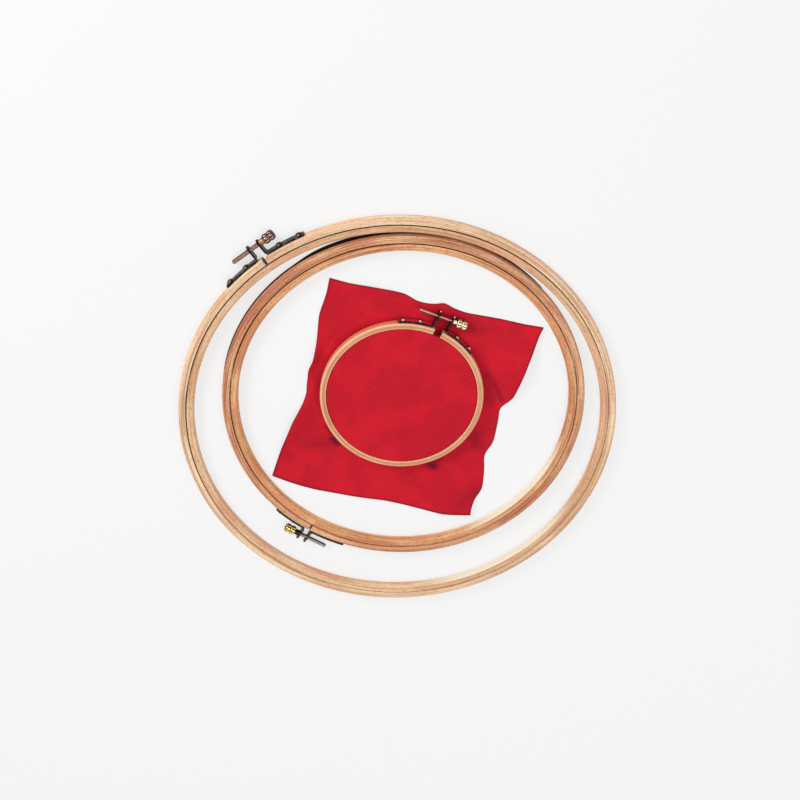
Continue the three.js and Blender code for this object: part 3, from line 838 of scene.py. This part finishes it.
def knurled_head():
    """A collar and two round beads on one axis, the beads with grooves along them."""
    sizes = ("Start", "Bead Start", "Bead Length", "Bead Radius", "Neck Depth", "Collar Radius")
    wire, size = new_tree("knurled_head", sizes)
    grid, share_round, share_along = wrapped_grid(wire, KNOB_SIDES, HEAD_ROWS)
    end = size["Bead Start"] + size["Bead Length"] * 2
    along = size["Start"] + (end - size["Start"]) * share_along
    turned = share_round * (2 * math.pi)
    in_beads = along > size["Bead Start"]
    bead = (along - size["Bead Start"]) / size["Bead Length"]
    across = bead.of("FRACT") * 2 - 1
    bulge = (1 - across * across).of("MAXIMUM", 0).of("SQRT")
    bead_radius = size["Bead Radius"] - (1 - bulge) * size["Neck Depth"]
    groove = ((turned * GROOVES).of("COSINE") * 0.5 + 0.5) ** GROOVE_SHARPNESS
    cut = groove * bulge
    from_start = ((along - size["Start"]) / EDGE_ROUND).of("MINIMUM", 1)
    collar_radius = size["Collar Radius"] - (1 - from_start) ** 2 * EDGE_ROUND
    knob = bead_radius - cut * GROOVE_DEPTH
    outer = collar_radius + (knob - collar_radius) * in_beads
    radius = outer * closed_at_ends(share_along, HEAD_ROWS)
    placed = placed_at(wire, along, radius * turned.of("COSINE"), radius * turned.of("SINE"))

    # The collar is marked with -1, so that its own colour can be told from the beads'; the depth of
    # the grooves and necks is kept too, and the material paints it as shade
    deep = cut.of("MAXIMUM", (1 - bulge) ** 2) * in_beads + in_beads - 1
    marked = kept_on(grid, "FLOAT", "POINT", "hollow", deep)
    head = wire.add("GeometryNodeSetPosition", None, {"Geometry": marked, "Position": placed})
    end_tree(head, size["Finish"])
    return wire.tree


def turned_brass(name, bright, dull, dark, collar, rough, painted_light_crest=(0.35, 0.9)):
    """Brass from the lathe, painted bright on top, with painted shade in the grooves and down the
    sides.
    """
    material, wire, shader = new_material(name, Metallic=1.0)
    hollow = kept_value(wire, "hollow")
    place = place_on(wire)
    tarnish = noise(place, scale=700, detail=3, rough=0.6).between(0.42, 0.62)
    rise = wire.add("ShaderNodeNewGeometry").output("Normal").parts()[2]
    shaded = 1 - rise.between(*painted_light_crest)
    sunken = hollow.between(0.12, 0.7)
    skin = (tarnish * 0.5).mix(bright, dull)
    painted_shade_skin = sunken.of("MAXIMUM", shaded * 0.8).mix(skin, dark)
    connect(hollow.of("LESS_THAN", -0.5).mix(painted_shade_skin, collar), shader, "Base Color")
    connect(tarnish * 0.1 + sunken * 0.2 + rough, shader, "Roughness")
    return material


ROD, KNOB = turned_rod(), knurled_head()
DARK_BRONZE = srgb(40, 24, 24)
METALS = {
    "large": {
        "rod": turned_brass(
            "bronzed_rod", bright=srgb(226, 178, 160), dull=srgb(176, 124, 104),
            dark=srgb(64, 38, 28), collar=DARK_BRONZE, rough=0.26, painted_light_crest=(0.5, 0.95)),
        "head": turned_brass(
            "bronzed_head", bright=srgb(164, 130, 120), dull=srgb(104, 74, 68),
            dark=DARK_BRONZE, collar=srgb(160, 116, 80), rough=0.2),
        "slot": "bronzed_screw",
    },
    "medium": {
        "rod": turned_brass(
            "grey_brass_rod", bright=srgb(248, 234, 224), dull=srgb(214, 194, 180),
            dark=srgb(24, 17, 16), collar=DARK_BRONZE, rough=0.2, painted_light_crest=(0.7, 0.98)),
        "head": turned_brass(
            "yellow_brass_head", bright=srgb(250, 214, 134), dull=srgb(220, 166, 88),
            dark=srgb(56, 32, 18), collar=srgb(52, 34, 26), rough=0.18),
        "slot": "brass_screw",
    },
    "small": {
        "rod": turned_brass(
            "pink_brass_rod", bright=srgb(255, 226, 196), dull=srgb(244, 202, 166),
            dark=srgb(120, 66, 52), collar=DARK_BRONZE, rough=0.3, painted_light_crest=(0.0, 0.7)),
        "head": turned_brass(
            "bright_brass_head", bright=srgb(255, 244, 206), dull=srgb(246, 220, 160),
            dark=srgb(126, 84, 46), collar=srgb(252, 236, 180), rough=0.2),
        "slot": "brass_screw",
    },
}

for hoop, sizes in SCREWS.items():
    middle, axis = screw_joint(hoop)
    across = axis.cross(Vector((0, 0, 1))).normalized()
    lean = Matrix((axis, across, axis.cross(across))).transposed().to_4x4()
    place = Matrix.Translation(middle) @ lean
    points = points_of(f"{hoop}_thumb_screw", place)
    tip, end = float(points[:, 0].min()), float(points[:, 0].max())
    bead_start = end - 2 * sizes["bead_length"]
    rod = made_by(ROD, f"{hoop}_screw_rod", {
        "Tip": tip, "End": bead_start - sizes["collar"] / 2, "Radius": sizes["rod"],
        "Pitch": sizes["pitch"], "Thread Depth": sizes["pitch"] * THREAD_SHARE,
        "Tip Round": sizes["tip"], "Finish": METALS[hoop]["rod"],
    }, place)
    head = made_by(KNOB, f"{hoop}_screw_head", {
        "Start": bead_start - sizes["collar"], "Bead Start": bead_start,
        "Bead Length": sizes["bead_length"], "Bead Radius": sizes["bead"],
        "Neck Depth": sizes["neck"], "Collar Radius": sizes["rod"] + COLLAR_STEP,
        "Finish": METALS[hoop]["head"],
    }, place)
    for piece in (rod, head):
        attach(piece, f"{hoop}_screw")
    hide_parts(f"{hoop}_thumb_screw")
    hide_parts(f"{hoop}_thumb_screw")


# Cloth: a rectangle of red evenweave cotton, drawn tight over the small inner ring, down between
# the rings and out over the table, where its loose part lies in shallow folds.

# The four edges as they lie, in millimetres from the middle of the small hoop
CLOTH_EDGES = [
    [(-45.4, 90.1), (-31.9, 85.6), (-16.5, 82.5), (-3.1, 79.0), (5.6, 75.9), (12.2, 70.6),
     (18.9, 68.1), (27.7, 67.4), (28.5, 68.6), (31.8, 68.6), (37.8, 63.7), (45.9, 59.8),
     (68.3, 54.4), (85.4, 49.4), (99.0, 46.5)],
    [(99.0, 46.5), (95.4, 39.2), (92.5, 30.4), (85.1, 11.2), (77.7, -8.0), (72.5, -12.3),
     (68.2, -15.6), (67.8, -22.2), (66.0, -32.7), (63.6, -43.7), (58.2, -51.6), (56.9, -54.4),
     (57.1, -65.5), (55.5, -80.8), (53.0, -85.7), (50.0, -89.1), (46.8, -98.3), (46.4, -103.1)],
    [(46.4, -103.1), (25.1, -100.7), (7.1, -95.7), (-16.5, -88.1), (-40.2, -82.7),
     (-64.0, -77.3), (-75.7, -73.2), (-85.4, -68.9), (-95.0, -63.9)],
    [(-95.0, -63.9), (-87.0, -41.3), (-77.7, -19.4), (-69.0, -4.8), (-65.6, 4.6), (-66.4, 5.9),
     (-64.4, 16.5), (-64.4, 20.1), (-60.4, 27.6), (-56.7, 43.5), (-54.1, 62.9), (-48.2, 78.3),
     (-45.4, 90.1)],
]
SAMPLES_PER_EDGE = 100
EDGE_SMOOTHINGS = 3
MM = 1000
CLOTH_THICKNESS = 0.0005
CLOTH_TURN = math.radians(-16.5)
ABOVE_RING = 0.0001
ABOVE_TABLE = 0.00005
BESIDE_RING = 0.0006
CLOTH_BEND = 0.0006
FLAT_SKIRT = 0.0085
DISC_SHARES = (0.02, 0.985)
DISC_RINGS = 26
BEND_STEPS = 5
WALL_ROWS = 5
SKIRT_ROWS = 44
CREASE_SINKS = 0.7

# The folds in the loose part: where each rises round the hoop and how wide, in degrees, and how
# high, in millimetres
FOLDS = [
    {"angle": 150, "spread": 13, "height": 2.6},
    {"angle": -163, "spread": 11, "height": 4.2},
    {"angle": -112, "spread": 13, "height": 1.6},
    {"angle": -72, "spread": 11, "height": 3.4},
    {"angle": 8, "spread": 13, "height": 5.0},
    {"angle": 64, "spread": 7, "height": 1.2},
    {"angle": 100, "spread": 12, "height": 1.4},
]

# The creases, from one place to another in millimetres, and how much painted shade each gets; the
# same depth sinks the folds there
CREASES = [
    {"from": (60.0, 11.0), "to": (65.0, 3.8), "width": 3.2, "dark": 0.34},
    {"from": (65.0, 3.8), "to": (70.2, -9.4), "width": 2.0, "dark": 0.46},
    {"from": (58.0, 8.0), "to": (60.0, -8.0), "width": 5.5, "dark": 0.22},
    {"from": (50.0, -36.0), "to": (52.0, -46.0), "width": 4.6, "dark": 0.34},
    {"from": (17.8, -59.0), "to": (21.0, -61.6), "width": 3.0, "dark": 0.8},
    {"from": (14.0, -59.4), "to": (26.0, -56.0), "width": 1.6, "dark": 0.5},
    {"from": (-50.2, -35.6), "to": (-47.2, -39.0), "width": 3.0, "dark": 0.8},
    {"from": (-54.0, -25.0), "to": (-47.0, -37.0), "width": 1.7, "dark": 0.5},
    {"from": (-70.0, -39.6), "to": (-54.0, -39.0), "width": 5.0, "dark": 0.24},
    {"from": (-60.0, -2.0), "to": (-58.0, 14.0), "width": 3.0, "dark": 0.24},
    {"from": (40.0, -94.0), "to": (49.0, -86.0), "width": 6.0, "dark": 0.2},
    {"from": (22.0, 60.0), "to": (30.0, 56.0), "width": 3.5, "dark": 0.26},
    {"from": (14.0, 66.0), "to": (20.0, 60.0), "width": 2.4, "dark": 0.2},
    {"from": (40.0, 53.0), "to": (58.0, 46.0), "width": 5.5, "dark": 0.24},
]

low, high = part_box("small_inner_ring")
cloth_middle = np.array(((low.x + high.x) / 2, (low.y + high.y) / 2))
wall_radius = (high.x - low.x) / 2 + BESIDE_RING
skirt_height = CLOTH_THICKNESS / 2 + ABOVE_TABLE
disc_height = high.z + CLOTH_THICKNESS / 2 + ABOVE_RING

outline = []
for edge in CLOTH_EDGES:
    corners = np.array(edge)
    lengths = np.concatenate([[0], np.cumsum(np.hypot(*np.diff(corners, axis=0).T))])
    where = np.arange(SAMPLES_PER_EDGE) / SAMPLES_PER_EDGE * lengths[-1]
    side = np.stack([np.interp(where, lengths, corners[:, i]) for i in (0, 1)], 1) / MM
    for _ in range(EDGE_SMOOTHINGS):
        side[1:-1] = (side[:-2] + side[1:-1] + side[2:]) / 3
    outline.append(side)
outline = np.concatenate(outline)
angles = np.arctan2(outline[:, 1], outline[:, 0])
edge_radius = np.hypot(*outline.T)


def hollow_at(spots):
    """How deep in a crease each spot lies, from 0 to 1, for the painted shade and the sunken folds.
    """
    deepest = np.zeros(len(spots))
    for crease in CREASES:
        start, end = np.array(crease["from"]) / MM, np.array(crease["to"]) / MM
        line = end - start
        share = np.clip((spots - start) @ line / (line @ line), 0, 1)
        away = np.hypot(*(spots - start - share[:, None] * line).T)
        depth = crease["dark"] * np.exp(-((away / crease["width"] * MM) ** 2))
        deepest = np.maximum(deepest, depth)
    return deepest


# Rows from the middle outwards: radius and height of the taut part, the bends and the wall
rows = [(wall_radius * share, disc_height) for share in np.linspace(*DISC_SHARES, DISC_RINGS)]
bend = CLOTH_BEND
wall_top, wall_foot = disc_height - bend, skirt_height + bend
for i in range(1, BEND_STEPS + 1):
    turned = QUARTER_TURN * (1 - i / BEND_STEPS)
    over = wall_radius - bend + bend * math.cos(turned)
    rows.append((over, wall_top + bend * math.sin(turned)))
for share in np.linspace(0, 1, WALL_ROWS + 2)[1:-1]:
    rows.append((wall_radius, wall_top + (wall_foot - wall_top) * share))
for i in range(BEND_STEPS + 1):
    turned = math.pi + QUARTER_TURN * i / BEND_STEPS
    out = wall_radius + bend + bend * math.cos(turned)
    rows.append((out, wall_foot + bend * math.sin(turned)))
flat_end = wall_radius + bend + FLAT_SKIRT

# How high the loose edge stands at each heading, then the rows of the loose part
fold_height = np.zeros(len(outline))
for fold in FOLDS:
    away = np.angle(np.exp(1j * (angles - math.radians(fold["angle"]))))
    fold_height += fold["height"] / MM * np.exp(-((away / math.radians(fold["spread"])) ** 2))

count = len(outline)
heading = np.stack([np.cos(angles), np.sin(angles)], 1)
points = [np.array([[0, 0, disc_height]])]
cloth_length = [np.zeros(1)]
walked = 0
before = (0, disc_height)
for radius, height in rows:
    walked += math.hypot(radius - before[0], height - before[1])
    before = (radius, height)
    points.append(np.concatenate([heading * radius, np.full((count, 1), height)], 1))
    cloth_length.append(np.full(count, walked))
for share in (np.arange(SKIRT_ROWS) + 1) / SKIRT_ROWS:
    radius = before[0] + (edge_radius - before[0]) * share
    lift = np.clip((radius - flat_end) / np.maximum(edge_radius - flat_end, 0.001), 0, 1)
    height = skirt_height + fold_height * np.sin(lift * QUARTER_TURN) ** 2
    height -= (height - skirt_height) * hollow_at(heading * radius[:, None]) * CREASE_SINKS
    points.append(np.concatenate([heading * radius[:, None], height[:, None]], 1))
    cloth_length.append(walked + radius - before[0])
cloth_points = np.concatenate(points)
flat_radius = np.concatenate(cloth_length)
hollow = hollow_at(cloth_points[:, :2]) * (np.hypot(*cloth_points[:, :2].T) > wall_radius)
cloth_points[:, :2] += cloth_middle

# The mesh: a fan in the middle, then rings of four-sided faces, and the cloth's own measures
faces = [(0, 1 + i, 1 + (i + 1) % count) for i in range(count)]
ring_count = len(points) - 1
for row in range(ring_count - 1):
    inner, outer = 1 + row * count, 1 + (row + 1) * count
    for i in range(count):
        after = (i + 1) % count
        faces.append((inner + i, outer + i, outer + after, inner + after))
cloth_mesh = bpy.data.meshes.new("embroidery_cloth_red")
cloth_mesh.from_pydata(cloth_points.tolist(), [], faces)
all_angles = np.concatenate([[0], np.tile(angles, ring_count)]) - CLOTH_TURN
threads = np.stack([flat_radius * np.cos(all_angles), flat_radius * np.sin(all_angles)], 1)
edge_share = np.concatenate([[0], np.repeat(np.arange(ring_count) / (ring_count - 1), count)])
loops = np.zeros(len(cloth_mesh.loops), np.int32)
cloth_mesh.loops.foreach_get("vertex_index", loops)
thread_map = cloth_mesh.uv_layers.new(name="threads")
thread_map.data.foreach_set("uv", threads[loops].astype(np.float32).ravel())
for name, values in {"edge_share": edge_share, "hollow": hollow}.items():
    measure = cloth_mesh.attributes.new(name, "FLOAT", "POINT")
    measure.data.foreach_set("value", values.astype(np.float32))
cloth_mesh.polygons.foreach_set("use_smooth", [True] * len(faces))
cloth = into_scene("embroidery_cloth_red", cloth_mesh)
thickness = cloth.modifiers.new("thickness", "SOLIDIFY")
thickness.thickness = CLOTH_THICKNESS
thickness.offset = 0

THREAD_PITCH = 0.0017
WEAVE = 2 * math.pi / THREAD_PITCH
RIM = (0.975, 0.995)
RED, DEEP_RED = srgb(208, 26, 44), srgb(196, 24, 42)
DARK_RED, PAINTED_CREASE_SHADE = srgb(96, 8, 26), srgb(74, 8, 38)
finish, wire, shader = new_material("red_evenweave", Roughness=0.9, Specular_IOR_Level=0.15)
u, v, _ = wire.add("ShaderNodeUVMap", {"uv_map": "threads"}).parts()
place = place_on(wire)
weft = (u * WEAVE).of("COSINE")
warp = (v * WEAVE).of("COSINE")
holes = ((weft * 0.5 + 0.5) * (warp * 0.5 + 0.5)) ** 2
uneven = noise(place, scale=40, detail=3, rough=0.55)
slubs = noise(place, scale=700, detail=2, rough=0.6)
open_weave = uneven.between(0.42, 0.54) * slubs.between(0.35, 0.55)
crease_shade = kept_value(wire, "hollow")
rim = kept_value(wire, "edge_share").between(*RIM)
# The creases are painted dark as shade, and the weave's holes show darker in them too.
ground = crease_shade.mix(uneven.between(0.3, 0.7).mix(RED, DEEP_RED), PAINTED_CREASE_SHADE)
pierced = (holes * (open_weave.of("MAXIMUM", crease_shade) * 0.7 + 0.2)).mix(ground, DARK_RED)
connect((rim * 0.6).mix(pierced, DARK_RED), shader, "Base Color")
roughen(wire, shader, 0.3, 0.00015, holes * -1 + weft * warp * 0.2 + slubs * 0.6)
cloth_mesh.materials.append(finish)
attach(cloth, "root")
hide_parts("embroidery_cloth")
